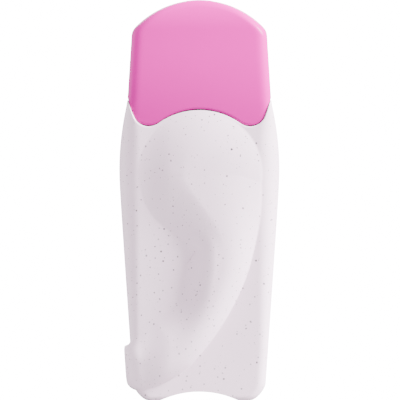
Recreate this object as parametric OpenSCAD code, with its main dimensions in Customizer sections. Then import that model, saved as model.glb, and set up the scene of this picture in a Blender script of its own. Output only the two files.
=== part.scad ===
// Hand-held roll-on wax warmer: a two-shell housing with a lift-off cap, a heated well and a wax
// cartridge with a roller. The front faces -Y, +Z is up, and the origin is under the middle of the
// whole outline, at the height of the two feet.

/* [Outline] */
// Height from the feet to the top of the cap
total_h = 170; // [169:1:171]
// Widest point of the housing, at the belly
belly_w = 68; // [67:0.5:70]
// Height of the belly
belly_z = 98; // [96:1:100]
// Depth of the housing between its flat front and back
body_d = 41; // [41:0.5:43]
// Width of the flat front between its two edges
flat_w = 50.5; // [50:0.5:52]
// Wall of the two shells
wall = 2; // [1.8:0.1:2.1]
// Wall of the cap
cap_wall = 1.8; // [1.6:0.1:1.8]

/* [Seam between cap and housing] */
// Top of the seam's middle arch
seam_arch_z = 123; // [122:0.5:124]
// Lowest point of the cap's two lobes
seam_lobe_z = 116.1; // [115.5:0.1:117]
// Distance of each lobe from the middle
seam_lobe_x = 21.5; // [21:0.5:22]
// Radius of each lobe
seam_lobe_r = 7; // [6.5:0.5:7.5]
// Gap between cap and housing
seam_gap = 0.35; // [0.3:0.05:0.5]

/* [Raised comma] */
// How far the comma stands out of the front
relief_h = 6; // [5:0.5:6]
// Radius of its round head
head_r = 26.3; // [26:0.1:26.5]

/* [Cartridge] */
// Width of the cartridge
cart_w = 47; // [46:0.5:47]
// Depth of the cartridge
cart_d = 27; // [26:0.5:27]
// Height of its bottle up to the shoulder
cart_h = 85; // [80:1:85]
// Corner radius of its bottle
cart_r = 9.6; // [9:0.1:9.6]
// Roller diameter
roller_dia = 10; // [9:0.5:10]
// Roller length
roller_len = 36; // [34:1:36]

/* [Heater] */
// Clearance between cartridge and sleeve
well_gap = 0.4; // [0.35:0.05:0.4]
// Wall of the aluminium sleeve
sleeve_t = 1; // [0.8:0.1:1]
// Height of the cartridge's floor
well_z = 31; // [31:0.5:32]

/* [Mains inlet] */
// Distance between the two pins
pin_pitch = 6.6; // [6.6:0.1:6.7]
// Pin diameter
pin_dia = 2.36; // [2.3:0.02:2.4]

/* [Hidden] */
$fn = 48;

white = [0.91, 0.88, 0.90];
pink = [0.91, 0.54, 0.78];
amber = [0.90, 0.66, 0.28];

mid_y = relief_h / 2;       // the plane where the shells meet; the comma makes up the rest of the depth
half_d = body_d / 2;
belly_b = belly_w / 2;
far = 100;                  // reach of the cutting blocks
part_gap = 0.03;            // daylight between the two shells at their joint

// ---------- outline of housing and cap ----------

cap_r = 38;                 // arc of the cap's top
cap_zc = total_h - cap_r;
corner_z = 155;             // height of the cap's corners
foot_z = 7.4;               // height of the bottom corners
foot_in = 21.6;             // where each bottom corner's curve meets the foot
arch_b = 17;                // half the span of the arch between the feet
arch_h = 3.9;
arch_r = (arch_b * arch_b + arch_h * arch_h) / (2 * arch_h);

function clamp01(v) = min(1, max(0, v));
function lower_side(z) = belly_b + 0.5 - sqrt(0.25 + pow(0.07 * (belly_z - z), 2));
function upper_side(z) = max(belly_b - 0.00428 * pow(z - belly_z, 2), 30.5 - 0.062 * (z - 127.5));
function corner_side(z) = foot_in
    + (lower_side(foot_z) - foot_in) * pow(1 - pow(1 - clamp01(z / foot_z), 1.5), 1 / 1.5);
function top_side(z, inset) = sqrt(max(4, pow(cap_r - inset, 2) - pow(z - cap_zc, 2)));

// Half the width at height z, drawn in by inset.
function half_w(z, inset) = z < foot_z ? corner_side(z) - inset
    : z < belly_z ? lower_side(z) - inset
    : z < corner_z ? upper_side(z) - inset
    : min(upper_side(z) - inset, top_side(z, inset));

// Half the depth at height z: a small round at the feet, a lean above the belly, a round top.
function half_depth(z) = z < 2 ? half_d - 1.2 * pow(1 - z / 2, 2)
    : z < 100 ? half_d
    : z < 150 ? half_d - 2.2 * pow((z - 100) / 50, 2)
    : half_d - 2.2 - 0.088 * (z - 150) - 0.0083 * pow(max(z - 157, 0), 2.33);

// Half the width of the flat front at height z.
function half_flat(z, inset) = let (w = half_w(z, inset))
    min(flat_w / 2 + 1.6 * clamp01((z - 110) / 16) - inset, w - min(3.9, 0.16 * w));

// Points from the right side's middle, round the front or back, to the left side's middle.
function half_section(z, inset, facing) = let (
        w = half_w(z, inset),
        f = half_flat(z, inset),
        d = half_depth(z) - inset,
        deep = min(w - f, 0.6 * d),
        right = concat([[w, 0]], [for (a = [72, 48, 24, 0]) [f + (w - f) * sin(a), d - deep * (1 - cos(a))]])
    ) concat(
        [for (i = [0 : 4]) [right[i].x, facing * right[i].y, z]],
        [for (i = [4 : -1 : 0]) [-right[i].x, facing * right[i].y, z]]);

levels = concat(
    [0, 0.6, 1.4, 2.6, 4.2, 5.8, foot_z], [for (z = [14 : 7 : 98]) z],
    [for (z = [103 : 5 : 128]) z], [for (z = [134 : 6 : 152]) z],
    [155, 156.2, 157.6, 159.2, 161, 163, 165, 167, 168.6, total_h]);
function levels_between(low, high) = concat([low], [for (z = levels)
    if (z > low + 0.2 && z < high - 0.2) z], [high]);

// A solid through a stack of closed rings, each listed in the same turning sense.
module stack(rings, flip = false) {
    n = len(rings[0]);
    m = len(rings);
    skin = [for (i = [0 : m - 2], j = [0 : n - 1], k = [0, 1])
        let (a = i * n + j, b = i * n + (j + 1) % n, c = a + n, d = b + n)
        k == 0 ? [a, c, b] : [b, c, d]];
    ends = [[for (j = [0 : n - 1]) j], [for (j = [n - 1 : -1 : 0]) (m - 1) * n + j]];
    faces = concat(skin, ends);
    polyhedron([for (r = rings, p = r) p],
        flip ? [for (f = faces) [for (k = [len(f) - 1 : -1 : 0]) f[k]]] : faces);
}

// Half of the outer form, in front of (facing -1) or behind (facing 1) the middle plane.
module half_form(facing, inset, low, high) translate([0, mid_y + facing * part_gap / 2, 0])
    stack([for (z = levels_between(low, high)) half_section(z, inset, facing)], facing < 0);

module whole_form(inset, low, high) translate([0, mid_y, 0])
    stack([for (z = levels_between(low, high))
        let (front = half_section(z, inset, -1), back = half_section(z, inset, 1))
        concat(front, [for (k = [len(back) - 2 : -1 : 1]) back[k]])], true);

module underside(inset) translate([0, 0, arch_h - arch_r])
    rotate([90, 0, 0]) cylinder(r = arch_r + inset, h = far, center = true, $fn = 180);

// ---------- seam ----------

lobe_zc = seam_lobe_z + seam_lobe_r;
lobe_rise = lobe_zc - seam_arch_z;
seam_arch_r = (seam_lobe_x * seam_lobe_x + lobe_rise * lobe_rise - seam_lobe_r * seam_lobe_r)
    / (2 * (seam_lobe_r - lobe_rise));
seam_arch_zc = seam_arch_z - seam_arch_r;
meet_deg = atan2(seam_lobe_x, lobe_zc - seam_arch_zc);
flank_deg = 70;

function seam_right(lift) = concat(
    [for (a = [2.5 : 5 : meet_deg]) [seam_arch_r * sin(a), seam_arch_zc + seam_arch_r * cos(a) + lift]],
    [for (a = [-meet_deg : 12 : flank_deg - 4])
        [seam_lobe_x + seam_lobe_r * sin(a), lobe_zc - seam_lobe_r * cos(a) + lift]],
    [for (s = [0, 8]) [seam_lobe_x + seam_lobe_r * sin(flank_deg) + s,
        lobe_zc - seam_lobe_r * cos(flank_deg) + s * tan(flank_deg) + lift]]);
function seam_line(lift) = concat(
    [for (i = [len(seam_right(lift)) - 1 : -1 : 0]) [-seam_right(lift)[i].x, seam_right(lift)[i].y]],
    seam_right(lift));

module region(points) rotate([90, 0, 0]) linear_extrude(far, center = true) polygon(points);
module below_seam() region(concat(seam_line(0), [[far, far * 1.4], [far, -far], [-far, -far],
    [-far, far * 1.4]]));
module above_seam() region(concat(seam_line(seam_gap), [[far / 2, 2 * far], [-far / 2, 2 * far]]));

// ---------- raised comma ----------

head_c = [0.5, 96.2];
head_h = 4.5;
bend_in = [-28.3, 50.8];    // centre of the notch's arc; the tail runs between two arcs
bend_in_r = 25.6;
bend_out = [-82.8, 91.4];   // centre of the outer arc
bend_out_r = 109.8;
neck_deg = 40;              // where the head's circle hands over to the tail
tail_deg = -60;             // where the tail flattens towards its tip

focus = bend_out - bend_in;
span_sum = bend_in_r + bend_out_r;
function tail_rho(a) = (span_sum * span_sum - focus * focus) / (2 * (span_sum - focus * [cos(a), sin(a)]));
function tail_point(a) = bend_in + tail_rho(a) * [cos(a), sin(a)];
neck = tail_point(neck_deg);
head_len = norm(neck - head_c);
head_dir = (neck - head_c) / head_len;

// One station: place, direction across, outward direction, half width, height, boxiness.
function front_station(p, along, r, h, box) = let (u = along / norm(along))
    [[p.x, -half_d, p.y], [-u.y, 0, u.x], [0, -1, 0], r, h, box];
function head_station(s, inset) = let (r = head_r - inset, w = sqrt(r * r - s * s))
    front_station(head_c + s * head_dir, head_dir, w, (head_h - inset) * (1 - s * s / (r * r)), 0);
function tail_station(a, inset) = front_station(tail_point(a), tail_point(a - 1) - tail_point(a + 1),
    tail_rho(a) - bend_in_r - inset,
    (relief_h - inset) * (1 - 0.43 * pow(clamp01((a - 10) / (neck_deg - 10)), 2)),
    clamp01((neck_deg - a) / 50));
function tip_station(x, y, z, turn, r, h) = [[x, y, z], [0, 0, -1], [-sin(turn), -cos(turn), 0], r, h, 1];

head_stations = [-26.2, -25, -22, -16, -8, 0, 7, 13];
tail_angles = [neck_deg, 32, 24, 16, 8, 0, -10, -20, -30, -40, -50, tail_deg];
tip_stations = [
    front_station([-15.5, 17.4], [-1, -0.35], 9.1, relief_h, 1),
    front_station([-20, 15.6], [-1, -0.2], 9.3, relief_h - 0.2, 1),
    tip_station(-23.4, -half_d, 14.4, 12, 9.4, relief_h - 1.2),
    tip_station(-27.3, -half_d + 0.9, 14, 45, 9.5, 3.8),
    tip_station(-28.3, -half_d + 2.4, 13.9, 72, 9.5, 3.3),
    tip_station(-28.5, -half_d + 6, 13.9, 86, 9.5, 3.1),
    tip_station(-28.5, -half_d + 12, 13.9, 90, 9.5, 3),
    tip_station(-28.5, -half_d + 16.4, 13.9, 90, 9, 2.7),
    tip_station(-28.5, -half_d + 18.2, 13.9, 90, 7, 2),
    tip_station(-28.5, -half_d + 19.3, 13.9, 90, 3, 1.2)
];
across = [0.985, 0.9, 0.7, 0.42, 0.14];

function lift_at(t, st) = st[4] * pow(1 - pow(abs(t), 2 + 0.8 * st[5]), 1 - 0.5 * st[5]);
function station_ring(st, root) = concat(
    [st[0] + st[1] * st[3] - st[2] * root],
    [for (t = across) st[0] + st[1] * st[3] * t + st[2] * lift_at(t, st)],
    [for (k = [4 : -1 : 0]) st[0] - st[1] * st[3] * across[k] + st[2] * lift_at(across[k], st)],
    [st[0] - st[1] * st[3] - st[2] * root]);

module comma() translate([0, mid_y, 0]) stack([
    for (st = concat(
        [for (s = head_stations) head_station(s, 0)],
        [for (a = tail_angles) tail_station(a, 0)],
        tip_stations)) station_ring(st, 0.8)]);
module comma_hollow() translate([0, mid_y, 0]) stack([
    for (st = concat(
        [for (s = head_stations) if (abs(s) < head_r - wall - 1) head_station(s, wall)],
        [for (a = tail_angles) if (a < neck_deg && a > -55) tail_station(a, wall)]))
            station_ring(st, wall + 0.6)]);

// ---------- shells and cap ----------

window_w = 9;
window_h = 46;
window_z = 76;
lamp_x = 0;
lamp_z = 19;
screw_x = 20.5;
screw_z = 13;
inlet_w = 19.6;
inlet_d = 12.8;
bay_top = well_z - 3;       // underside of the sleeve's seat
board_off = 8.2;            // front face of the lamp board, behind the middle plane
board_y = mid_y + board_off;

module at_screws() for (s = [-1, 1]) translate([s * screw_x, mid_y, screw_z]) rotate([-90, 0, 0]) children();
module at_board_screws() for (s = [-1, 1]) translate([s * 6.6, mid_y, s > 0 ? 11.5 : 25])
    rotate([-90, 0, 0]) children();

module inlet_cut(grow) translate([0, mid_y, 0])
    cube([inlet_w + 2 * grow, inlet_d + 2 * grow, 24], center = true);

module round_rect(w, d, r) {
    square([w - 2 * r, d], center = true);
    square([w, d - 2 * r], center = true);
    for (x = [-1, 1], y = [-1, 1]) translate([x * (w / 2 - r), y * (d / 2 - r)]) circle(r);
}
module round_block(w, d, h, r) linear_extrude(h) round_rect(w, d, r);

// One shell without its bosses, brought to the belly's exact width.
module shell_half(facing) resize([belly_w, 0, 0]) difference() {
    intersection() {
        union() {
            difference() {
                half_form(facing, 0, 0, 140);
                underside(0);
            }
            if (facing < 0) comma();
        }
        below_seam();
    }
    difference() {
        whole_form(wall, wall, 141);
        underside(wall);
    }
    if (facing < 0) comma_hollow();
    inlet_cut(0.15);
}

module front_shell() color(white) {
    difference() {
        union() {
            shell_half(-1);
            at_screws() translate([0, 0, -half_d + wall - 0.6])
                cylinder(d = 7, h = half_d - wall + 0.6 - 0.4);
        }
        at_screws() translate([0, 0, -13]) cylinder(d = 2.6, h = 20);
    }
}

module rear_shell() color(white) {
    difference() {
        union() {
            shell_half(1);
            at_screws() translate([0, 0, 0.4]) cylinder(d = 8, h = half_d - wall + 0.2);
            at_board_screws() translate([0, 0, board_off + 1.65])
                cylinder(d = 4.4, h = half_d - wall + 0.6 - board_off - 1.65);
        }
        at_screws() {
            translate([0, 0, -1]) cylinder(d = 3.4, h = 40);
            translate([0, 0, 9]) cylinder(d = 6.2, h = 40);
        }
        at_board_screws() translate([0, 0, board_off]) cylinder(d = 1.7, h = 8.5);
        translate([0, mid_y + 10, window_z]) rotate([-90, 0, 0])
            round_block(window_w, window_h, 20, window_w / 2 - 0.1);
        translate([lamp_x, mid_y + 10, lamp_z]) rotate([-90, 0, 0]) cylinder(d = 4.4, h = 20);
    }
}

module cap() color(pink) resize([0, 0, total_h - seam_lobe_z - seam_gap]) difference() {
    intersection() {
        whole_form(0, 110, total_h);
        above_seam();
    }
    whole_form(cap_wall, 108, total_h - cap_wall);
}

// ---------- collar that carries the cap ----------

collar_z = 108.5;
collar_top = 131;
module neck_collar() color([0.86, 0.85, 0.86]) difference() {
    resize([0, 0, collar_top - collar_z]) difference() {
        union() {
            whole_form(wall + 0.05, collar_z, collar_z + 2);
            whole_form(cap_wall + 0.6, collar_z + 1.9, collar_top);
        }
        whole_form(cap_wall + 2.2, collar_z + 2, collar_top + 1);
    }
    translate([0, mid_y, collar_z - 1])
        round_block(cart_w + 2 * well_gap, cart_d + 2 * well_gap, 4, cart_r + well_gap);
}

// ---------- lenses and screws ----------

module window_lens() color([0.75, 0.78, 0.80]) translate([0, mid_y, window_z]) rotate([-90, 0, 0]) {
    translate([0, 0, half_d - wall - 0.1])
        round_block(window_w - 0.1, window_h - 0.1, wall - 0.2, window_w / 2 - 0.15);
    translate([0, 0, half_d - wall - 1]) round_block(window_w + 4, window_h + 4, 0.97, window_w / 2 + 1.5);
}

module indicator_lens() color([0.80, 0.20, 0.18]) translate([lamp_x, mid_y, lamp_z]) rotate([-90, 0, 0]) {
    translate([0, 0, half_d - wall - 0.97]) cylinder(d = 6.4, h = 0.94);
    translate([0, 0, half_d - wall - 0.5]) cylinder(d = 4.3, h = wall + 0.3);
}

module housing_screws() color([0.70, 0.70, 0.72]) at_screws() difference() {
    union() {
        translate([0, 0, -9]) cylinder(d = 2.5, h = 18.1);
        translate([0, 0, 9.03]) cylinder(d = 5.4, h = 2.2);
    }
    for (a = [0, 90]) rotate([0, 0, a]) translate([-1.6, -0.35, 10.1]) cube([3.2, 0.7, 2]);
}

// ---------- heated well ----------

sleeve_w = cart_w + 2 * well_gap + 2 * sleeve_t;
sleeve_d = cart_d + 2 * well_gap + 2 * sleeve_t;
sleeve_z = well_z - well_gap - sleeve_t;

module heating_sleeve() color([0.80, 0.81, 0.83]) translate([0, mid_y, sleeve_z]) difference() {
    round_block(sleeve_w, sleeve_d, collar_z - sleeve_z - 0.1, cart_r + well_gap + sleeve_t);
    translate([0, 0, sleeve_t])
        round_block(sleeve_w - 2 * sleeve_t, sleeve_d - 2 * sleeve_t, far, cart_r + well_gap);
    translate([0, 0, window_z - sleeve_z]) rotate([-90, 0, 0])
        round_block(window_w - 1, window_h - 2, 30, window_w / 2 - 0.6);
}

// Plastic seat under the sleeve, with a window for the thermostat.
module sleeve_seat() color([0.30, 0.30, 0.32]) translate([0, mid_y, sleeve_z - 1.6]) difference() {
    union() {
        round_block(sleeve_w, sleeve_d, 1.55, cart_r + well_gap + sleeve_t);
        for (s = [-1, 1]) translate([s * 26 - 1.2, -4, 0]) cube([2.4, 8, 1.55]);
    }
    translate([-14, 0, -1]) cylinder(d = 14.4, h = 4);
    translate([14, 0, -1]) cube([15, 7, 8], center = true);
}

ptc_y = sleeve_d / 2;       // outside of the sleeve's front wall, from the middle plane
ptc_x = 24;
ptc_h = 36;
ptc_z = 68;

module ptc_layer(from, thick, w, h)
    translate([-w / 2, mid_y - ptc_y - from - thick, ptc_z + (ptc_h - h) / 2]) cube([w, thick, h]);
module ptc_stones() color([0.42, 0.40, 0.38]) for (k = [-1 : 1]) translate([k * 8, 0, 0])
    ptc_layer(0.66, 2, 7.4, 33);
module electrode_plates() color([0.83, 0.80, 0.70]) {
    ptc_layer(0.34, 0.3, 23.4, 34);
    ptc_layer(2.68, 0.3, 23.4, 34);
    translate([-10, mid_y - ptc_y - 0.64, ptc_z - 5]) cube([3, 0.3, 7]);
    translate([7, mid_y - ptc_y - 2.98, ptc_z - 5]) cube([3, 0.3, 7]);
}
module ptc_films() color([0.80, 0.55, 0.20]) {
    ptc_layer(0.03, 0.28, ptc_x, ptc_h);
    ptc_layer(3.01, 0.28, ptc_x, ptc_h);
}
// Bowed leaf that presses the stack against the sleeve.
module ptc_spring() color([0.72, 0.73, 0.75]) translate([0, mid_y - ptc_y - 3.33, ptc_z + 13])
    linear_extrude(10)
    polygon(concat(
        [for (x = [-10 : 2.5 : 10]) [x, -0.5 - 1.4 * (1 - pow(x / 10, 2))]],
        [for (x = [10 : -2.5 : -10]) [x, -1.4 * (1 - pow(x / 10, 2))]]));

// ---------- electrical parts ----------

module thermostat() color([0.15, 0.15, 0.16]) translate([-14, mid_y, sleeve_z - 0.05]) mirror([0, 0, 1]) {
    cylinder(d = 12, h = 1.2);
    translate([0, 0, 1.15]) cylinder(d = 10.4, h = 4);
    for (s = [-1, 1]) translate([-0.4, s * 3.2 - 1.2, 5.1]) cube([0.8, 2.4, 3.2]);
}

// Strap under the thermostat, held to the seat.
module sensor_clip() color([0.75, 0.76, 0.78]) translate([-14, mid_y, sleeve_z - 1.62]) difference() {
    translate([0, 0, -0.6]) {
        translate([-2.6, -10, 0]) cube([5.2, 20, 0.58]);
        cylinder(d = 13.6, h = 0.58);
    }
    translate([0, 0, -3]) cylinder(d = 10.8, h = 8);
}

fuse_z = bay_top - 3;
module thermal_fuse() color([0.75, 0.70, 0.45]) translate([14, mid_y, fuse_z]) rotate([0, 90, 0]) {
    cylinder(d = 3.8, h = 9, center = true);
    cylinder(d = 0.9, h = 15, center = true);
}
module fuse_tube() color([0.90, 0.88, 0.80]) translate([14, mid_y, fuse_z]) rotate([0, 90, 0]) difference() {
    cylinder(d = 4.9, h = 12, center = true);
    cylinder(d = 4, h = 20, center = true);
}

inlet_z = 4.2;
inlet_deep = 12;
inlet_h = 16;
module inlet_housing() color([0.13, 0.13, 0.14]) translate([0, mid_y, inlet_z]) difference() {
    union() {
        translate([-inlet_w / 2, -inlet_d / 2, 0]) cube([inlet_w, inlet_d, inlet_h]);
        translate([-inlet_w / 2 - 1.6, -inlet_d / 2 - 1.6, 3.4]) cube([inlet_w + 3.2, inlet_d + 3.2, 1.6]);
    }
    translate([0, 0, -1]) linear_extrude(inlet_deep + 1) {
        for (s = [-1, 1]) translate([s * pin_pitch / 2, 0]) circle(4.1);
        square([pin_pitch, 6.4], center = true);
    }
    for (s = [-1, 1]) translate([s * pin_pitch / 2, 0, 5]) cylinder(d = pin_dia + 0.48, h = 20);
}
// Each pin has a thicker root in the housing and a thin tail for the wire.
module inlet_pins() color([0.80, 0.74, 0.52]) for (s = [-1, 1])
    translate([s * pin_pitch / 2, mid_y, inlet_z + 3]) {
    cylinder(d = pin_dia, h = inlet_deep - 3 + 1);
    translate([0, 0, inlet_deep - 3]) cylinder(d = pin_dia + 0.44, h = inlet_h - inlet_deep + 1.5);
    translate([0, 0, inlet_deep - 2]) cylinder(d = 1.4, h = inlet_h - inlet_deep + 3);
}

module circuit_board() color([0.12, 0.38, 0.22]) difference() {
    translate([-9.5, board_y, 8.5]) cube([19, 1.6, 19]);
    at_board_screws() cylinder(d = 2.1, h = 20);
}
module dropper_resistors() color([0.30, 0.48, 0.62]) for (x = [-6.6, -3.4])
    translate([x, board_y + 2.9, 15]) {
    cylinder(d = 2.3, h = 6.3, center = true);
    cylinder(d = 0.6, h = 8.4, center = true);
    for (z = [-4, 4]) translate([0, 0, z]) rotate([90, 0, 0]) cylinder(d = 0.6, h = 1.25);
}
module rectifier_diode() color([0.12, 0.12, 0.13]) translate([5.6, board_y + 2.7, 21.5]) {
    cylinder(d = 2, h = 4.2, center = true);
    cylinder(d = 0.6, h = 7, center = true);
    for (z = [-3.2, 3.2]) translate([0, 0, z]) rotate([90, 0, 0]) cylinder(d = 0.6, h = 1.05);
}
module indicator_led() color([0.85, 0.25, 0.22]) translate([lamp_x, board_y + 1.62, lamp_z])
    rotate([-90, 0, 0]) {
    cylinder(d = 3.8, h = 1);
    cylinder(d = 3, h = 4.4);
    translate([0, 0, 4.4]) sphere(d = 3);
}
module board_screws() color([0.72, 0.72, 0.74]) at_board_screws() {
    translate([0, 0, board_off - 1.45]) cylinder(d = 3.4, h = 1.4);
    translate([0, 0, board_off - 0.1]) cylinder(d = 1.6, h = 7);
}

// A wire swept along a path whose corners are rounded off.
function unit(v) = v / norm(v);
function rounded(p) = concat([p[0]],
    [for (i = [0 : len(p) - 2], t = [0.25, 0.75]) p[i] + t * (p[i + 1] - p[i])], [p[len(p) - 1]]);
function mitred(p, ring, i = 1) = i >= len(p) ? [] : let (
        run = unit(p[i] - p[i - 1]),
        n = i < len(p) - 1 ? unit(run + unit(p[i + 1] - p[i])) : run,
        next = [for (q = ring) q + run * (((p[i] - q) * n) / (run * n))]
    ) concat([next], mitred(p, next, i + 1));
module run_wire(points, dia) {
    p = rounded(rounded(points));
    run = unit(p[1] - p[0]);
    a = unit(cross(run, abs(run.z) > 0.7 ? [1, 0, 0] : [0, 0, 1]));
    b = cross(run, a);
    first = [for (k = [0 : 9]) p[0] + dia / 2 * (a * cos(36 * k) + b * sin(36 * k))];
    stack(concat([first], mitred(p, first)));
}

wire_d = 1.5;
pin_top = inlet_z + inlet_h + 4.05;
blade_z = sleeve_z - 8.4;
duct_y = mid_y - ptc_y - 1.9;
tab_z = ptc_z - 5.05;
module live_wire() color([0.45, 0.25, 0.12])
    run_wire([[-3.3, mid_y, pin_top], [-3.3, mid_y, 26], [-6.4, mid_y - 1.4, 25.4], [-7.8, mid_y - 2.6, 22.2],
        [-11.2, mid_y - 3.2, 21.6], [-11.6, mid_y - 3.2, 17.6], [-14, mid_y - 3.2, 17.4], [-14,
            mid_y - 3.2, blade_z]], wire_d);
module fuse_wire() color([0.80, 0.80, 0.78])
    run_wire([[-14, mid_y + 3.2, blade_z], [-14, mid_y + 3.2, 18], [-12, mid_y + 4.4, 18.6],
        [-11.2, mid_y + 4.2, 23],
        [-4, mid_y + 3.9, 27], [4.6, mid_y + 3.2, 26.8], [5.2, mid_y + 0.2, fuse_z], [5.6, mid_y,
            fuse_z], [6.25, mid_y, fuse_z]], wire_d);
module ptc_live_wire() color([0.80, 0.80, 0.78])
    run_wire([[21.75, mid_y, fuse_z], [24.2, mid_y, fuse_z], [24, mid_y - 6, 24], [19, mid_y - 14, 24.2],
        [12, duct_y, 26], [8.5, duct_y, 32], [8.5, duct_y, 58], [8.5, duct_y - 0.3, tab_z]], wire_d);
module neutral_wire() color([0.20, 0.35, 0.70])
    run_wire([[3.3, mid_y, pin_top], [3.3, mid_y, 27], [2.6, mid_y - 5, 27], [-3, mid_y - 14, 24],
        [-8.5, duct_y, 26], [-8.5, duct_y, 32], [-8.5, duct_y, 58], [-8.5, duct_y + 0.75, tab_z]], wire_d);
module board_wires() for (s = [-1, 1]) color(s < 0 ? [0.75, 0.15, 0.12] : [0.15, 0.15, 0.16])
    run_wire([[s * 3.3, mid_y + 0.75, 22.4], [s * 3.4, mid_y + 3, 22.4], [s * 5, mid_y + 4, 22.4],
        [s * 5, board_y - 0.05, 22.4]], 1);
module crimp_sleeves() color([0.75, 0.72, 0.55]) {
    for (x = [6.9, 21.1]) translate([x, mid_y, fuse_z]) rotate([0, 90, 0]) difference() {
        cylinder(d = 2.4, h = 1.2, center = true);
        cylinder(d = 1, h = 5, center = true);
    }
}

// ---------- cartridge ----------

shoulder_z = well_z + cart_h;
bottle_t = 1;
module cartridge_bottle() color([0.88, 0.86, 0.84]) translate([0, mid_y, well_z]) difference() {
    union() {
        round_block(cart_w, cart_d, cart_h, cart_r);
        translate([0, 0, cart_h - 0.01]) round_block(cart_w - 5, cart_d - 5, 5, cart_r - 2.5);
    }
    translate([0, 0, bottle_t]) round_block(cart_w - 2 * bottle_t, cart_d - 2 * bottle_t,
        cart_h - 2 * bottle_t, cart_r - bottle_t);
    translate([0, 0, cart_h - 3]) round_block(cart_w - 8, cart_d - 8, 10, cart_r - 4);
    translate([0, 0, -1]) round_block(cart_w - 8, cart_d - 8, 1.3, cart_r - 4);
}
module wax_fill() color(amber) translate([0, mid_y, well_z + bottle_t + 0.05])
    round_block(cart_w - 2 * bottle_t - 0.1, cart_d - 2 * bottle_t - 0.1, 66, cart_r - bottle_t - 0.05);

roller_z = shoulder_z + 25;
cheek_x = roller_len / 2 + 0.4;
module roller_head() color([0.93, 0.93, 0.93]) translate([0, mid_y, shoulder_z + 0.05]) difference() {
    union() {
        round_block(cart_w, cart_d, 7, cart_r);
        translate([0, 0, 6.9]) round_block(cart_w - 4, cart_d - 5, 9, cart_r - 2.5);
        translate([0, 0, 15.8]) round_block(2 * (cheek_x + 2.4), 13, 7.2, 3);
        for (s = [-1, 1]) translate([s * (cheek_x + 1.2) - 1.2, -4.5, 20]) cube([2.4, 9, 4.95]);
        for (s = [-1, 1]) translate([s * (cheek_x + 1.2) - 1.2, 0, 24.95]) rotate([0, 90, 0])
            cylinder(d = 9, h = 2.4);
    }
    translate([0, 0, -1]) round_block(cart_w - 4.8, cart_d - 4.8, 6.2, cart_r - 2.4);
    translate([0, 0, 5]) round_block(cart_w - 9, cart_d - 9, 9, cart_r - 5);
    translate([0, 0, 12]) cube([roller_len - 4, 4, 30], center = true);
    translate([-cheek_x, 0, 24.95]) rotate([0, 90, 0]) cylinder(d = roller_dia + 0.8, h = 2 * cheek_x);
    translate([-40, 0, 24.95]) rotate([0, 90, 0]) cylinder(d = 3.1, h = 80);
}
module roller() color([0.97, 0.97, 0.97]) translate([0, mid_y, roller_z]) rotate([0, 90, 0]) {
    cylinder(d = roller_dia, h = roller_len, center = true);
    cylinder(d = 3, h = 2 * (cheek_x + 2.2), center = true);
}

front_shell();
rear_shell();
neck_collar();
cap();
window_lens();
indicator_lens();
housing_screws();
heating_sleeve();
sleeve_seat();
ptc_stones();
electrode_plates();
ptc_films();
ptc_spring();
thermostat();
sensor_clip();
thermal_fuse();
fuse_tube();
inlet_housing();
inlet_pins();
circuit_board();
dropper_resistors();
rectifier_diode();
indicator_led();
board_screws();
live_wire();
fuse_wire();
ptc_live_wire();
neutral_wire();
board_wires();
crimp_sleeves();
cartridge_bottle();
wax_fill();
roller_head();
roller();
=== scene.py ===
"""Looks of the roll-on wax warmer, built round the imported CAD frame.

Lengths in the shape code are millimetres.
"""

import math

import bmesh
import bpy
import numpy as np
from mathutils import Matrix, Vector

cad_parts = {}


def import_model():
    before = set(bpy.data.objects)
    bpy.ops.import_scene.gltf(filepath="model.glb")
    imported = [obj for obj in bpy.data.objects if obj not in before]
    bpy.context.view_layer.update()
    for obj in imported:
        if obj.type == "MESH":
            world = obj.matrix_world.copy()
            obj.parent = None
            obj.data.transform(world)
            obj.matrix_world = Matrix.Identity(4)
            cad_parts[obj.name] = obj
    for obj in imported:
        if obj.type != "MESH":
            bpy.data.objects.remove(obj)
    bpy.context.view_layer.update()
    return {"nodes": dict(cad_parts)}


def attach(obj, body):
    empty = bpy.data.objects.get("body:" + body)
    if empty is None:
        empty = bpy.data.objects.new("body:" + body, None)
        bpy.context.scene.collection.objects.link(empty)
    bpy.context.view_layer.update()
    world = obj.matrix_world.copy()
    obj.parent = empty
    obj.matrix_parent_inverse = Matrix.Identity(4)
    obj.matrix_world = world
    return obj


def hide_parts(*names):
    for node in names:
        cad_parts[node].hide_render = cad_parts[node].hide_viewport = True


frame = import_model()
NODES = frame["nodes"]
MM = 0.001

# ---------------------------------------------------------------- the housing's form

TOTAL_H = 170.0
BELLY_Z, BELLY_B = 98.0, 34.0
HALF_D = 20.5
MID_Y = 3.0
CREASE_X = 25.3
CAP_R = 38.0
CAP_ZC = TOTAL_H - CAP_R
FOOT_Z, FOOT_IN = 7.4, 21.6
ARCH_B, ARCH_H = 17.0, 3.9
ARCH_R = (ARCH_B**2 + ARCH_H**2) / (2 * ARCH_H)
WALL, CAP_WALL = 2.0, 1.8
SETTLE_STEPS = 12


def soft_min(a, b, k):
    """The lower of a and b, rounded over a width of k."""
    h = np.clip(0.5 + 0.5 * (b - a) / k, 0, 1)
    return b * (1 - h) + a * h - k * h * (1 - h)


def soft_max(a, b, k):
    return -soft_min(-a, -b, k)


def lower_side(z):
    return BELLY_B + 0.5 - np.sqrt(0.25 + (0.07 * (BELLY_Z - z)) ** 2)


def side(z):
    """Half the width of cap and housing, before the cap's top and the bottom corners are rounded."""
    above = soft_max(BELLY_B - 0.00428 * (z - BELLY_Z) ** 2, 30.5 - 0.062 * (z - 127.5), 0.5)
    return np.where(z < BELLY_Z, lower_side(z), above)


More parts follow.
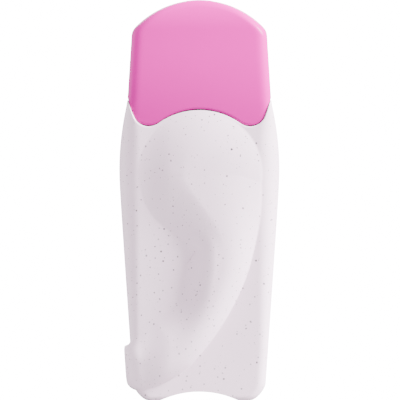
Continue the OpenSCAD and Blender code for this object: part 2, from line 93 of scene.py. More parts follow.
def half_width(z, inset):
    foot = lower_side(np.array(FOOT_Z))
    corner = FOOT_IN + (foot - FOOT_IN) * (1 - (1 - np.clip(z / FOOT_Z, 0, 1)) ** 1.5) ** (1 / 1.5)
    wide = np.where(z < FOOT_Z, corner, side(z)) - inset
    top = np.sqrt(np.maximum((CAP_R - inset) ** 2 - np.maximum(z - CAP_ZC, 0) ** 2, 0.0))
    return np.where(z > 140, np.maximum(soft_min(wide, top, 1.6), 0) * (top > 0), wide)


def half_depth(z):
    low = HALF_D - 1.2 * np.clip(1 - z / 2, 0, 1) ** 2
    lean = HALF_D - 2.2 * (np.clip(z - 100, 0, 50) / 50) ** 2 - 0.088 * np.clip(z - 150, 0, 20)
    return np.where(z < 2, low, lean - 0.0083 * np.clip(z - 157, 0, 13) ** 2.33)


def half_flat(z, inset):
    w = half_width(z, inset)
    rise = np.clip((z - 110) / 16, 0, 1)
    crease = CREASE_X + 1.6 * rise * rise * (3 - 2 * rise) - inset
    return np.minimum(crease, w - np.minimum(3.9, 0.16 * w))


def under(x):
    a = np.abs(x)
    return np.where(a < ARCH_B, np.sqrt(ARCH_R**2 - np.minimum(a, ARCH_B) ** 2) - (ARCH_R - ARCH_H), 0.0)


class Section:
    """Half sections of the form at many heights, each resampled at the same fractions of its length.

    x and y are places, nx and ny outward directions, s the distance from the middle line along the skin.
    """

    def __init__(self, inset, columns, round_mm, top):
        self.c = np.linspace(0, 1, columns)
        low = np.concatenate([np.linspace(0, 8, 40), np.linspace(8.2, 150, 300)])
        high = 150.1 + (top - 150.1) * np.sin(np.linspace(0, math.pi / 2, 120))
        self.z = np.concatenate([low, high])
        rows = [self.row(z, inset, round_mm) for z in self.z]
        self.x, self.y, self.nx, self.ny, self.s = (np.array([r[k] for r in rows]) for k in range(5))

    def row(self, z, inset, round_mm):
        z = np.array(float(z))
        w, f, d = (float(v) for v in (half_width(z, inset), half_flat(z, inset), half_depth(z) - inset))
        turn = np.linspace(0, math.pi / 2, 50)
        deep = min(w - f, 0.6 * d)
        x = np.concatenate([np.linspace(0, f, 80)[:-1], f + (w - f) * np.sin(turn), np.full(40, w)])
        y = np.concatenate([np.full(79, d), d - deep * (1 - np.cos(turn)), np.linspace(d - deep, 0, 41)[1:]])
        s = np.concatenate([[0], np.cumsum(np.hypot(np.diff(x), np.diff(y)))])
        total = s[-1]
        step = 0.2
        reach = int(round_mm / step)
        su = np.arange(-reach, int(total / step) + reach + 2) * total / int(total / step + 1)
        fold = np.where(su > total, 2 * total - su, np.abs(su))
        xu = np.interp(fold, s, x) * np.where(su < 0, -1, 1)
        yu = np.interp(fold, s, y) * np.where(su > total, -1, 1)
        if reach and w > 6:
            hann = np.hanning(2 * reach + 3)[1:-1]
            hann /= hann.sum()
            ends = np.pad(xu, reach, mode="edge"), np.pad(yu, reach, mode="edge")
            xu, yu = np.convolve(ends[0], hann, "valid"), np.convolve(ends[1], hann, "valid")
        at = self.c * total
        gx, gy = np.gradient(xu, su), np.gradient(yu, su)
        tx, ty = np.interp(at, su, gx), np.interp(at, su, gy)
        length = np.maximum(np.hypot(tx, ty), 1e-9)
        return np.interp(at, su, xu), np.interp(at, su, yu), -ty / length, tx / length, at

    def at(self, z):
        """Everything at heights z, an array of rows by columns."""
        out = []
        for table in (self.x, self.y, self.nx, self.ny, self.s):
            columns = [np.interp(z[:, j], self.z, table[:, j]) for j in range(len(self.c))]
            out.append(np.stack(columns, axis=1))
        return out

    def settle(self, start, height):
        """The heights, one for each column, where the outline meets the curve height(x)."""
        z = np.full((1, len(self.c)), start)
        for _ in range(SETTLE_STEPS):
            z = height(self.at(z)[0])
        return z


# ---------------------------------------------------------------- the seam

LOBE_X, LOBE_R, LOBE_Z, ARCH_TOP = 21.5, 7.0, 116.1, 123.0
LOBE_ZC = LOBE_Z + LOBE_R
RISE = LOBE_ZC - ARCH_TOP
SEAM_R = (LOBE_X**2 + RISE**2 - LOBE_R**2) / (2 * (LOBE_R - RISE))
SEAM_ZC = ARCH_TOP - SEAM_R
MEET_X = SEAM_R * LOBE_X / math.hypot(LOBE_X, LOBE_ZC - SEAM_ZC)
FLANK = math.radians(70)
SEAM_GAP = 0.5


def seam(x):
    """Height of the housing's upper edge at distance x from the middle line."""
    a = np.abs(x)
    arch = SEAM_ZC + np.sqrt(np.maximum(SEAM_R**2 - a**2, 0))
    out = np.clip(a - LOBE_X, -LOBE_R, LOBE_R * math.sin(FLANK))
    lobe = LOBE_ZC - np.sqrt(LOBE_R**2 - out**2)
    flank = LOBE_ZC - LOBE_R * math.cos(FLANK) + (a - LOBE_X - LOBE_R * math.sin(FLANK)) * math.tan(FLANK)
    return np.where(a < MEET_X, arch, np.where(a < LOBE_X + LOBE_R * math.sin(FLANK), lobe, flank))


# ---------------------------------------------------------------- the raised comma

HEAD = np.array([0.5, 96.2])
HEAD_R = 26.3
CREST_SHIFT = 0.26
BEND_IN, BEND_IN_R = np.array([-28.3, 50.8]), 25.6
BEND_OUT, BEND_OUT_R = np.array([-82.8, 91.4]), 109.8
SPAN = BEND_IN_R + BEND_OUT_R
FOCUS = BEND_OUT - BEND_IN
HEAD_H, TAIL_H, TIP_H = 4.0, 5.8, 3.1
TIP_Z, TIP_R = 13.9, 9.5
# How far the inner flank reaches out of the outline, how much further low down, into it, and at the tip.
FLANK_OUT, FLANK_OUT_LOW, FLANK_IN, FLANK_TIP = 4.6, 2.0, 8.4, 0.6


def smooth(t):
    t = np.clip(t, 0, 1)
    return t * t * (3 - 2 * t)


def leftward(s, start, length):
    """From 0 at the distance start left of the middle line to 1 after the length given."""
    return smooth((-s - start) / length)


def comma_spine():
    """Circles that the comma is swept from: place along the skin and radius of each."""
    rows = []
    for a in np.linspace(57.6, -58, 130):
        u = np.array([math.cos(math.radians(a)), math.sin(math.radians(a))])
        rho = (SPAN**2 - FOCUS @ FOCUS) / (2 * (SPAN - FOCUS @ u))
        waist = 1.9 * math.exp(-(((a - 24) / 17) ** 2))
        p = BEND_IN + (rho + waist) * u
        r = rho - BEND_IN_R - waist - 0.7 * np.clip((a - 40) / 17.6, 0, 1)
        rows.append([p[0], p[1], r])
    rows[0] = [HEAD[0], HEAD[1], HEAD_R]
    start = np.array(rows[-1])
    slope = (start[:2] - np.array(rows[-4][:2])) / np.linalg.norm(start[:2] - np.array(rows[-4][:2]))
    bend = start[:2] + slope * 11
    end = np.array([-27.0, TIP_Z])
    for t in np.linspace(0.03, 1, 40):
        p = (1 - t) ** 2 * start[:2] + 2 * t * (1 - t) * bend + t * t * end
        rows.append([p[0], p[1], start[2] + (TIP_R - start[2]) * t])
    for x in np.linspace(-27.8, -56, 36):
        rows.append([x, TIP_Z, TIP_R])
    return np.array(rows)


def relief(s, z):
    """Height of the comma over the skin at distance s along it from the middle line and height z."""
    spine = comma_spine()
    best = np.full(s.shape, 9.0)
    index = np.zeros(s.shape, int)
    for i, (cx, cz, r) in enumerate(spine):
        t = np.hypot(s - cx, z - cz) / r
        nearer = t < best
        best[nearer], index[nearer] = t[nearer], i
    ahead = np.gradient(spine[:, :2], axis=0)
    ahead /= np.linalg.norm(ahead, axis=1)[:, None]
    ahead[0] = ahead[1]
    outx, outz = -ahead[index, 1], ahead[index, 0]
    tail = smooth(index / 56)
    shift = CREST_SHIFT * (1 - tail)
    dx = (s - spine[index, 0]) / spine[index, 2] + shift * outx
    dz = (z - spine[index, 1]) / spine[index, 2] + shift * outz
    gap = np.maximum(np.hypot(dx, dz), 1e-6)
    lateral = (dx * outx + dz * outz) / gap
    edge = shift * lateral + np.sqrt((shift * lateral) ** 2 + 1 - shift**2)
    v = np.clip(gap / edge, 0, 1)
    tip = leftward(s, 22, 13)
    outer_head = 1 - v**2.9
    outer_tail = (1 - v ** (2.3 + 3.2 * tip)) ** (0.85 - 0.3 * tip)
    reach_out = FLANK_OUT + FLANK_OUT_LOW * leftward(s, 4, 14)
    reach_out = reach_out + (FLANK_TIP - reach_out) * tip
    reach_in = FLANK_IN + (FLANK_TIP - FLANK_IN) * tip
    inner_head = 1 - v**1.35
    depth_in = (1 - best) * spine[index, 2]
    climb = np.clip((depth_in + reach_out) / (reach_out + reach_in), 0, 1)
    inner_tail = smooth(climb ** (0.8 + 0.2 * tip))
    inner = inner_head + (inner_tail - inner_head) * tail
    outer = outer_head + (outer_tail - outer_head) * tail
    side_of = smooth(0.5 + (0.6 + 1.4 * tail) * lateral)
    high = HEAD_H + (TAIL_H - HEAD_H) * tail - (TAIL_H - TIP_H) * leftward(s, 12, 18)
    return (high - 0.45 * leftward(s, 25, 10)) * (inner + (outer - inner) * side_of)


# ---------------------------------------------------------------- meshes

SHARP = math.radians(38)


def mesh_object(name, verts, faces):
    """A mesh from points in millimetres, with doubled points merged and its normals facing out."""
    mesh = bpy.data.meshes.new(name)
    mesh.from_pydata((np.asarray(verts) * MM).tolist(), [], faces)
    bm = bmesh.new()
    bm.from_mesh(mesh)
    bmesh.ops.remove_doubles(bm, verts=bm.verts, dist=2e-6)
    bmesh.ops.dissolve_degenerate(bm, edges=bm.edges, dist=1e-7)
    bmesh.ops.recalc_face_normals(bm, faces=bm.faces)
    bm.to_mesh(mesh)
    bm.free()
    mesh.shade_smooth()
    mesh.set_sharp_from_angle(angle=SHARP)
    obj = bpy.data.objects.new(name, mesh)
    bpy.context.scene.collection.objects.link(obj)
    return obj


def grid_faces(rows, cols, start=0, wrap=False):
    faces = []
    for i in range(rows - 1):
        for j in range(cols - 1 + wrap):
            a, b = start + i * cols + j, start + i * cols + (j + 1) % cols
            faces.append((a, b, b + cols, a + cols))
    return faces


def full_row(half, sign):
    """Columns from the left parting line to the right one, out of the right half's columns."""
    return np.concatenate([sign * half[:, :0:-1], half], axis=1)


SHELL_COLS, SHELL_ROWS, FLOOR_ROWS = 124, 290, 16
RELIEF_FADE = 3.5


def shell_sheet(section, facing, inset, outside, relieved):
    """One skin of a shell: the underside from the parting plane outward, then the wall up to the seam.

    The outside has its edges broken at the parting line and at the seam.
    """
    low = section.settle(0.0, lambda x: under(x) + inset)
    high = section.settle(120.0, seam)
    v = np.linspace(0, 1, SHELL_ROWS)[:, None]
    z = low + (high - low) * v
    x, y, nx, ny, s = section.at(z)
    x, nx, s = (full_row(a, -1) for a in (x, nx, s))
    y, ny, z = (full_row(a, 1) for a in (y, ny, z))
    gap = np.abs(s[:, -1:]) - np.abs(s)
    push = np.zeros(x.shape)
    if relieved:
        push = relief(s, z) * np.sqrt(1 - (1 - np.clip(gap / RELIEF_FADE, 0, 1)) ** 2)
    if outside:
        push = push - 0.28 * np.clip(1 - gap / 0.5, 0, 1) ** 2
        rim = z[-1:] - z
        push = push - 0.22 * np.clip(1 - rim / 0.45, 0, 1) ** 2
    px, py = x + nx * push, y + ny * push
    top = np.stack([px, MID_Y + facing * np.maximum(py, 0), z], axis=2)
    floor = []
    for t in np.linspace(0, 1, FLOOR_ROWS)[:-1]:
        row = top[0].copy()
        row[:, 1] = MID_Y + (row[:, 1] - MID_Y) * t
        floor.append(row)
    return np.concatenate([np.array(floor), top], axis=0)


def thick_shell(name, facing, relieved):
    """A front (facing -1) or rear (facing 1) shell, closed between its outside and its inside."""
    outer = shell_sheet(Section(0.0, SHELL_COLS, 1.2, TOTAL_H), facing, 0.0, True, relieved)
    inner = shell_sheet(Section(WALL, SHELL_COLS, 1.0, TOTAL_H - WALL), facing, WALL, False, relieved)
    n, m = outer.shape[:2]
    verts = np.concatenate([outer.reshape(-1, 3), inner.reshape(-1, 3)])
    faces = grid_faces(n, m) + grid_faces(n, m, n * m)
    rim = [i * m for i in range(n)] + [(n - 1) * m + j for j in range(1, m)]
    rim += [i * m + m - 1 for i in range(n - 2, -1, -1)] + [j for j in range(m - 2, 0, -1)]
    for a, b in zip(rim, rim[1:] + rim[:1]):
        faces.append((a, b, b + n * m, a + n * m))
    return mesh_object(name, verts, faces)


CAP_EDGE, CAP_CROWN = 3.2, 0.6
CAP_COLS, CAP_ROWS = 110, 170


def cap_skin(inset, top):
    """The outside (inset 0) or the inside of the cap, as rings from its rim up to its crown."""
    section = Section(inset, CAP_COLS, 3.0 if inset == 0 else 1.0, top)
    low = section.settle(120.0, lambda x: seam(x + inset * 0.5) + SEAM_GAP)
    v = np.sin(np.linspace(0, math.pi / 2, CAP_ROWS))[:, None]
    z = low + (top - low) * v
    x, y, nx, ny, _ = section.at(z)
    x, nx = full_row(x, -1), full_row(nx, -1)
    y, ny, z = (full_row(a, 1) for a in (y, ny, z))
    if inset == 0:
        push = -0.3 * np.clip(1 - (z - z[:1]) / 0.6, 0, 1) ** 2
        x, y = x + nx * push, y + ny * push
    out = np.clip((np.hypot(x, z - CAP_ZC) - (CAP_R - inset - CAP_EDGE)) / CAP_EDGE, 0, 1) * (z > CAP_ZC)
    crown = CAP_CROWN * (np.abs(x) / 25) ** 2
    y = y * (1 - (CAP_EDGE * (1 - np.sqrt(1 - out * out)) + crown) / 18)
    front = np.stack([x, MID_Y - y, z], axis=2)
    back = np.stack([x, MID_Y + y, z], axis=2)[:, -2:0:-1]
    return np.concatenate([front, back], axis=1)


def thick_cap(name):
    outer, inner = cap_skin(0.0, TOTAL_H), cap_skin(CAP_WALL, TOTAL_H - CAP_WALL)
    n, m = outer.shape[:2]
    verts = np.concatenate([outer.reshape(-1, 3), inner.reshape(-1, 3)])
    faces = grid_faces(n, m, wrap=True) + grid_faces(n, m, n * m, wrap=True)
    faces += [(j, (j + 1) % m, (j + 1) % m + n * m, j + n * m) for j in range(m)]
    return mesh_object(name, verts, faces)


# Painted shade: a near-black strip behind the joint between cap and housing stands in for the shade inside
# the gap.
SHADE_STRIP_OUT, SHADE_STRIP_IN, SHADE_STRIP_UP, SHADE_STRIP_DOWN = 2.25, 3.25, 1.0, 3.0
SHADE_STRIP_COLS = 90


def painted_shade_strip(name):
    """A near-black strip behind the joint between cap and housing, fixed in the housing's mouth: painted
    shade for the gap.
    """
    rings = []
    corners = (SHADE_STRIP_OUT, SHADE_STRIP_DOWN), (SHADE_STRIP_OUT, -SHADE_STRIP_UP), (SHADE_STRIP_IN, -SHADE_STRIP_UP), (SHADE_STRIP_IN, SHADE_STRIP_DOWN)
    for inset, drop in corners:
        section = Section(inset, SHADE_STRIP_COLS, 1.0, TOTAL_H - inset)
        z = section.settle(118.0, lambda x, drop=drop: seam(x) - drop)
        x, y = section.at(z)[:2]
        front = np.stack([full_row(x, -1), MID_Y - full_row(y, 1), full_row(z, 1)], axis=2)[0]
        back = np.stack([full_row(x, -1), MID_Y + full_row(y, 1), full_row(z, 1)], axis=2)[0, -2:0:-1]
        rings.append(np.concatenate([front, back]))
    verts, m = np.concatenate(rings), len(rings[0])
    faces = []
    for k in range(4):
        for j in range(m):
            a, b = k * m, (k + 1) % 4 * m
            faces.append((a + j, a + (j + 1) % m, b + (j + 1) % m, b + j))
    return mesh_object(name, verts, faces)


def rounded_prism(name, w, d, r, place, along, depth):
    """A bar of rounded-rectangle section, used to cut openings: along is 'y' or 'z'."""
    pts = []
    for cx, cy, a0 in ((1, 1, 0), (-1, 1, 90), (-1, -1, 180), (1, -1, 270)):
        for k in range(9):
            a = math.radians(a0 + k * 11.25)
            pts.append((cx * (w / 2 - r) + r * math.cos(a), cy * (d / 2 - r) + r * math.sin(a)))
    n = len(pts)
    verts = []
    for t in (0, depth):
        for u, v in pts:
            step = (u, t, v) if along == "y" else (u, v, t)
            verts.append(tuple(p + q for p, q in zip(place, step)))
    faces = [tuple(range(n)), tuple(range(2 * n - 1, n - 1, -1))]
    faces += [(j, (j + 1) % n, (j + 1) % n + n, j + n) for j in range(n)]
    return mesh_object(name, verts, faces)


def cut(obj, cutters):
    for tool in cutters:
        mod = obj.modifiers.new("cut", "BOOLEAN")
        mod.operation, mod.solver, mod.object = "DIFFERENCE", "EXACT", tool
    bpy.context.view_layer.update()
    done = obj.evaluated_get(bpy.context.evaluated_depsgraph_get())
    mesh = bpy.data.meshes.new_from_object(done)
    obj.modifiers.clear()
    obj.data = mesh
    mesh.set_sharp_from_angle(angle=SHARP)
    for tool in cutters:
        bpy.data.objects.remove(tool)


front = thick_shell("front_shell_skin", -1, True)
rear = thick_shell("rear_shell_skin", 1, False)
cap = thick_cap("cap_skin")
shade_strip = painted_shade_strip("painted_shade_strip")

SCREW_X, SCREW_Z = 20.5, 13
INLET_W, INLET_D = 19.9, 13.1
CUT_Y = MID_Y + 12


def inlet_opening(name):
    return rounded_prism(name, INLET_W, INLET_D, 0.6, (0, MID_Y, -5), "z", 17)


cut(front, [inlet_opening("c1")])
cut(rear, [
    inlet_opening("c2"),
    rounded_prism("c3", 9, 46, 4.4, (0, CUT_Y, 76), "y", 14),
    rounded_prism("c4", 4.4, 4.4, 2.19, (0, CUT_Y, 19), "y", 14),
    rounded_prism("c5", 6.2, 6.2, 3.09, (SCREW_X, CUT_Y, SCREW_Z), "y", 14),
    rounded_prism("c6", 6.2, 6.2, 3.09, (-SCREW_X, CUT_Y, SCREW_Z), "y", 14),
])


def tube(name, outer_r, inner_r, place, length):
    """A tube along +Y, such as a screw boss."""
    n = 40
    verts, faces = [], []
    for r, t in ((outer_r, 0), (outer_r, length), (inner_r, length), (inner_r, 0)):
        for k in range(n):
            a = 2 * math.pi * k / n
            verts.append((place[0] + r * math.cos(a), place[1] + t, place[2] + r * math.sin(a)))
    for ring in range(4):
        for k in range(n):
            a, b = ring * n + k, ring * n + (k + 1) % n
            faces.append((a, b, (b + n) % (4 * n), (a + n) % (4 * n)))
    return mesh_object(name, verts, faces)


bosses, posts = [], []
for first, inner_r, start, length in ((0, 3.1, 9, 9.8), (2, 1.7, 0.4, 8.6)):
    for k, x in enumerate((-SCREW_X, SCREW_X)):
        bosses.append(tube(f"rear_boss_{first + k}", 4.0, inner_r, (x, MID_Y + start, SCREW_Z), length))
for k, x in enumerate((-SCREW_X, SCREW_X)):
    posts.append(tube(f"front_boss_{k}", 3.5, 1.3, (x, MID_Y - 18.9, SCREW_Z), 18.5))

for obj in [front, shade_strip, *posts, rear, *bosses]:
    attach(obj, "housing")
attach(cap, "cap")
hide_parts("front_shell")
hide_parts("rear_shell")
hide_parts("cap")

# ---------------------------------------------------------------- materials

def linear(r, g, b):
    """A colour given as it looks on a screen, 0 to 255, as the shader wants it."""
    return tuple(((v / 255 + 0.055) / 1.055) ** 2.4 if v > 10 else v / 255 / 12.92 for v in (r, g, b)) + (1,)


class Look:
    """A procedural material under construction."""

    def __init__(self, name):
        self.mat = bpy.data.materials.new(name)
        self.mat.use_nodes = True
        self.tree = self.mat.node_tree
        self.bsdf = self.tree.nodes["Principled BSDF"]
        self.coords = self.add("ShaderNodeTexCoord")

    def add(self, kind, **settings):
        node = self.tree.nodes.new(kind)
        for key, value in settings.items():
            setattr(node, key, value)
        return node

    def link(self, a, b):
        self.tree.links.new(a, b)

    def noise(self, scale, detail=3.0, rough=0.5):
        node = self.add("ShaderNodeTexNoise")
        node.inputs["Scale"].default_value = scale
        node.inputs["Detail"].default_value = detail
        node.inputs["Roughness"].default_value = rough
        self.link(self.coords.outputs["Object"], node.inputs["Vector"])
        return node.outputs["Fac"]

    def ramp(self, value, stops):
        node = self.add("ShaderNodeValToRGB")
        while len(node.color_ramp.elements) < len(stops):
            node.color_ramp.elements.new(0.5)
        for element, (at, colour) in zip(node.color_ramp.elements, stops):
            element.position = at
            element.color = colour
        self.link(value, node.inputs["Fac"])
        return node.outputs["Color"]

    def between(self, value, low, high):
        node = self.add("ShaderNodeMapRange")
        node.inputs["To Min"].default_value = low
        node.inputs["To Max"].default_value = high
        self.link(value, node.inputs["Value"])
        return node.outputs["Result"]

    def mix(self, fac, a, b):
        node = self.add("ShaderNodeMix", data_type="RGBA")
        for socket, value in ((node.inputs[0], fac), (node.inputs[6], a), (node.inputs[7], b)):
            if isinstance(value, (float, tuple)):
                socket.default_value = value
            else:
                self.link(value, socket)
        return node.outputs[2]

    def math(self, operation, a, b=0.0):
        node = self.add("ShaderNodeMath", operation=operation)
        for socket, value in ((node.inputs[0], a), (node.inputs[1], b)):
            if isinstance(value, float):
                socket.default_value = value
            else:
                self.link(value, socket)
        return node.outputs[0]

    def bump(self, value, strength, distance):
        node = self.add("ShaderNodeBump")
        node.inputs["Strength"].default_value = strength
        node.inputs["Distance"].default_value = distance
        self.link(value, node.inputs["Height"])
        self.link(node.outputs["Normal"], self.bsdf.inputs["Normal"])

    def set(self, **values):
        for key, value in values.items():
            self.bsdf.inputs[key.replace("_", " ")].default_value = value


def plain(name, colour, rough=0.45, metal=0.0, spread=0.06, grain=900.0, bump=0.1, **more):
    """An even material with a little variation in tone, gloss and surface."""
    look = Look(name)
    fac = look.noise(grain, 4.0)
    c = linear(*colour)
    dark = tuple(v * (1 - spread * 2) for v in c[:3]) + (1,)
    light = tuple(min(1, v * (1 + spread)) for v in c[:3]) + (1,)
    look.link(look.ramp(fac, [(0.3, dark), (0.7, light)]), look.bsdf.inputs["Base Color"])
    gloss = look.noise(grain * 0.3, 2.0)
    look.link(look.between(gloss, rough - 0.06, rough + 0.06), look.bsdf.inputs["Roughness"])
    look.bump(fac, bump, 0.00004)
    look.set(Metallic=metal, **more)
    return look.mat


# For each layer: cells per metre, speck size in a cell, share of cells with a speck, and its colour.
SPECK_LAYERS = (
    (300.0, 0.11, 0.55, (0.03, 0.02, 0.03, 1)),
    (520.0, 0.14, 0.36, (0.05, 0.03, 0.045, 1)),
    (900.0, 0.17, 0.24, (0.08, 0.055, 0.07, 1)),
)


def speckled():
    """Satin off-white plastic with sparse dark fibre specks of different sizes and tones."""
    look = Look("speckled_plastic")
    wobble = look.noise(2600.0, 2.0)
    tone = look.noise(60.0, 3.0)
    base = look.ramp(tone, [(0.25, (0.86, 0.665, 0.79, 1)), (0.75, (0.90, 0.70, 0.825, 1))])
    for scale, radius, keep, dark in SPECK_LAYERS:
        cells = look.add("ShaderNodeTexVoronoi")
        cells.inputs["Scale"].default_value = scale
        look.link(look.coords.outputs["Object"], cells.inputs["Vector"])
        parts = look.add("ShaderNodeSeparateColor")
        look.link(cells.outputs["Color"], parts.inputs["Color"])
        chosen = look.math("LESS_THAN", parts.outputs["Red"], keep)
        size = look.between(parts.outputs["Green"], radius * 0.55, radius * 1.25)
        uneven = look.math("MULTIPLY", look.math("SUBTRACT", wobble, 0.5), radius * 0.9)
        reach = look.math("ADD", size, uneven)
        inside = look.math("LESS_THAN", cells.outputs["Distance"], reach)
        shown = look.math("MULTIPLY", chosen, inside)
        amount = look.math("MULTIPLY", shown, look.between(parts.outputs["Blue"], 0.55, 1.0))
        base = look.mix(amount, base, dark)
    look.link(base, look.bsdf.inputs["Base Color"])
    grain = look.noise(1500.0, 4.0)
    look.link(look.between(grain, 0.40, 0.50), look.bsdf.inputs["Roughness"])
    look.bump(grain, 0.10, 0.00003)
    look.set(IOR=1.46)
    look.bsdf.inputs["Subsurface Weight"].default_value = 0.06
    look.bsdf.inputs["Subsurface Radius"].default_value = (0.002, 0.0018, 0.0018)
    return look.mat


def pink_cap():
    """Satin pink plastic, with painted shade that darkens it towards its rim."""
    look = Look("pink_plastic")
    tone = look.ramp(look.noise(45.0, 3.0), [(0.2, (0.665, 0.0, 0.335, 1)), (0.8, (0.69, 0.0, 0.35, 1))])
    # Painted shade: the base colour falls to 0.74 of its tone low on the cap, rising to full tone by 150 mm
    # up.
    place = look.add("ShaderNodeSeparateXYZ")
    look.link(look.coords.outputs["Object"], place.inputs["Vector"])
    rise = look.add("ShaderNodeMapRange", interpolation_type="SMOOTHSTEP")
    for key, value in (("From Min", 0.108), ("From Max", 0.150), ("To Min", 0.74), ("To Max", 1.0)):
        rise.inputs[key].default_value = value
    look.link(place.outputs["Z"], rise.inputs["Value"])
    look.link(look.mix(rise.outputs["Result"], (0.0, 0.0, 0.0, 1), tone), look.bsdf.inputs["Base Color"])
    grain = look.noise(1700.0, 4.0)
    look.link(look.between(grain, 0.31, 0.37), look.bsdf.inputs["Roughness"])
    look.bump(grain, 0.06, 0.00003)
    look.set(IOR=1.45)
    look.bsdf.inputs["Specular IOR Level"].default_value = 0.14
    return look.mat


def clear(name, colour, rough, through):
    """A see-through plastic."""
    look = Look(name)
    fac = look.noise(500.0, 2.0)
    light = linear(*colour)
    dark = tuple(v * 0.94 for v in light[:3]) + (1,)
    look.link(look.ramp(fac, [(0.3, dark), (0.7, light)]), look.bsdf.inputs["Base Color"])
    look.link(look.between(fac, rough * 0.8, rough * 1.2), look.bsdf.inputs["Roughness"])
    look.bsdf.inputs["Transmission Weight"].default_value = through
    look.set(IOR=1.45)
    return look.mat


def wax():
    """Honey-coloured wax, cloudy and slightly wavy."""
    look = Look("honey_wax")
    fac = look.noise(70.0, 5.0, 0.6)
    tone = look.ramp(fac, [(0.25, linear(214, 140, 44)), (0.75, linear(240, 182, 82))])
    look.link(tone, look.bsdf.inputs["Base Color"])
    look.link(look.between(look.noise(400.0), 0.18, 0.32), look.bsdf.inputs["Roughness"])
    look.bsdf.inputs["Subsurface Weight"].default_value = 0.35
    look.bsdf.inputs["Subsurface Radius"].default_value = (0.006, 0.003, 0.001)
    look.bump(fac, 0.15, 0.0002)
    return look.mat


def dress(obj, mat):
    obj.data.materials.clear()
    obj.data.materials.append(mat)


shell_mat = speckled()
for obj in [front, rear, *posts, *bosses]:
    dress(obj, shell_mat)
dress(cap, pink_cap())
# Painted shade: the strip's near-black colour stands in for the shade inside the joint.
dress(shade_strip, plain("painted_shade_dark", (44, 26, 40), 0.6))

LOOKS = [
    (plain("collar_plastic", (150, 138, 148), 0.45, bump=0.06), ["neck_collar"]),
    (clear("window_clear", (226, 232, 236), 0.08, 0.85), ["window_lens"]),
    (clear("lamp_red", (196, 36, 30), 0.15, 0.5), ["indicator_lens", "indicator_led"]),
    (plain("screw_zinc", (178, 180, 184), 0.28, 1.0, grain=1600.0), ["housing_screws", "board_screws"]),
    (plain("sleeve_aluminium", (208, 210, 214), 0.30, 1.0, 0.04, 700.0), ["heating_sleeve"]),
    (plain("seat_black", (52, 52, 56), 0.55), ["sleeve_seat"]),
    (plain("ptc_ceramic", (92, 86, 80), 0.75, spread=0.14, bump=0.3), ["ptc_stones"]),
    (
        plain("contact_brass", (206, 180, 118), 0.30, 1.0),
        ["electrode_plates", "thermal_fuse", "inlet_pins", "crimp_sleeves"],
    ),
    (plain("amber_film", (214, 142, 48), 0.22), ["ptc_films"]),
    (plain("spring_steel", (168, 170, 176), 0.24, 1.0), ["ptc_spring", "sensor_clip"]),
    (plain("black_plastic", (34, 34, 36), 0.42), ["thermostat", "inlet_housing", "rectifier_diode"]),
    (plain("pale_sleeving", (226, 220, 206), 0.6), ["fuse_tube", "fuse_wire", "ptc_live_wire"]),
    (plain("board_green", (38, 96, 56), 0.35, spread=0.1), ["circuit_board"]),
    (plain("resistor_blue", (96, 140, 176), 0.35), ["dropper_resistors"]),
    (plain("wire_brown", (110, 66, 36), 0.45), ["live_wire"]),
    (plain("wire_blue", (48, 88, 172), 0.45), ["neutral_wire"]),
    (plain("wire_red", (178, 40, 34), 0.45), ["board_wires"]),
    (clear("bottle_natural", (236, 230, 220), 0.30, 0.55), ["cartridge_bottle"]),
    (wax(), ["wax_fill"]),
    (plain("head_white", (238, 238, 236), 0.32, bump=0.05), ["roller_head", "roller"]),
]
for mat, names in LOOKS:
    for name in names:
        dress(NODES[name], mat)
        for poly in NODES[name].data.polygons:
            poly.material_index = 0

# ---------------------------------------------------------------- studio

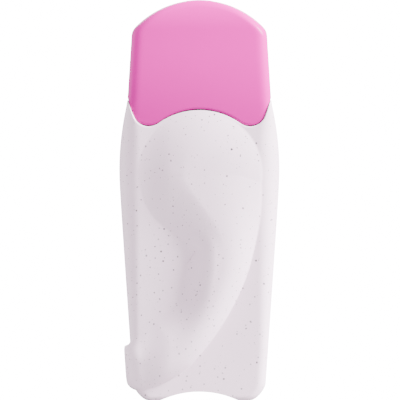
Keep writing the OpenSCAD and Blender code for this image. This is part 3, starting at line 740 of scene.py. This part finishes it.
def studio_floor():
    """A pale disc under the feet that fades out at its rim."""
    bpy.ops.mesh.primitive_circle_add(
        vertices=96, radius=0.9, fill_type="NGON", location=(0, 0, -0.0003)
    )
    disc = bpy.context.object
    disc.name = "floor"
    look = Look("floor_pale")
    radius = look.add("ShaderNodeVectorMath", operation="LENGTH")
    look.link(look.coords.outputs["Object"], radius.inputs[0])
    fade = look.add("ShaderNodeMapRange", interpolation_type="SMOOTHSTEP")
    for key, value in (("From Min", 0.10), ("From Max", 0.80), ("To Min", 1.0), ("To Max", 0.0)):
        fade.inputs[key].default_value = value
    look.link(radius.outputs["Value"], fade.inputs["Value"])
    look.link(fade.outputs["Result"], look.bsdf.inputs["Alpha"])
    look.set(Roughness=0.9)
    look.bsdf.inputs["Base Color"].default_value = (0.3, 0.3, 0.3, 1)
    look.bsdf.inputs["Emission Color"].default_value = (1, 1, 1, 1)
    path = look.add("ShaderNodeLightPath")
    look.link(look.between(path.outputs["Is Camera Ray"], 0.0, 16.0), look.bsdf.inputs["Emission Strength"])
    disc.data.materials.append(look.mat)


def sun(name, place, power, spread):
    """A wide soft light from the direction of place."""
    lamp = bpy.data.lights.new(name, "SUN")
    lamp.energy, lamp.angle = power, math.radians(spread)
    obj = bpy.data.objects.new(name, lamp)
    obj.location = place
    obj.rotation_euler = Vector(place).to_track_quat("Z", "Y").to_euler()
    bpy.context.scene.collection.objects.link(obj)


def world(seen, cast):
    """Even light all round, with a brighter backdrop where the camera looks straight at it."""
    sky = bpy.data.worlds.new("studio")
    bpy.context.scene.world = sky
    sky.use_nodes = True
    tree = sky.node_tree
    back = tree.nodes["Background"]
    path = tree.nodes.new("ShaderNodeLightPath")
    level = tree.nodes.new("ShaderNodeMapRange")
    level.inputs["To Min"].default_value = cast
    level.inputs["To Max"].default_value = seen
    tree.links.new(path.outputs["Is Camera Ray"], level.inputs["Value"])
    tree.links.new(level.outputs["Result"], back.inputs["Strength"])
    back.inputs["Color"].default_value = (1, 0.94, 1.0, 1)


studio_floor()
world(18.0, 1.5)
sun("key", (0.80, -0.18, 0.58), 24.0, 22)
sun("rim", (-0.95, 0.22, 0.15), 1.4, 40)
sun("fill", (0.0, 0.9, 0.4), 2.5, 40)

cam_data = bpy.data.cameras.new("camera")
cam_data.sensor_width = 36
cam_data.lens = 421.4
camera = bpy.data.objects.new("camera", cam_data)
camera.location = (0.0003, -1.997, 0.0850)
camera.rotation_euler = (math.pi / 2, 0, 0)
cam_data.clip_start, cam_data.clip_end = 0.05, 30
bpy.context.scene.collection.objects.link(camera)
bpy.context.scene.camera = camera
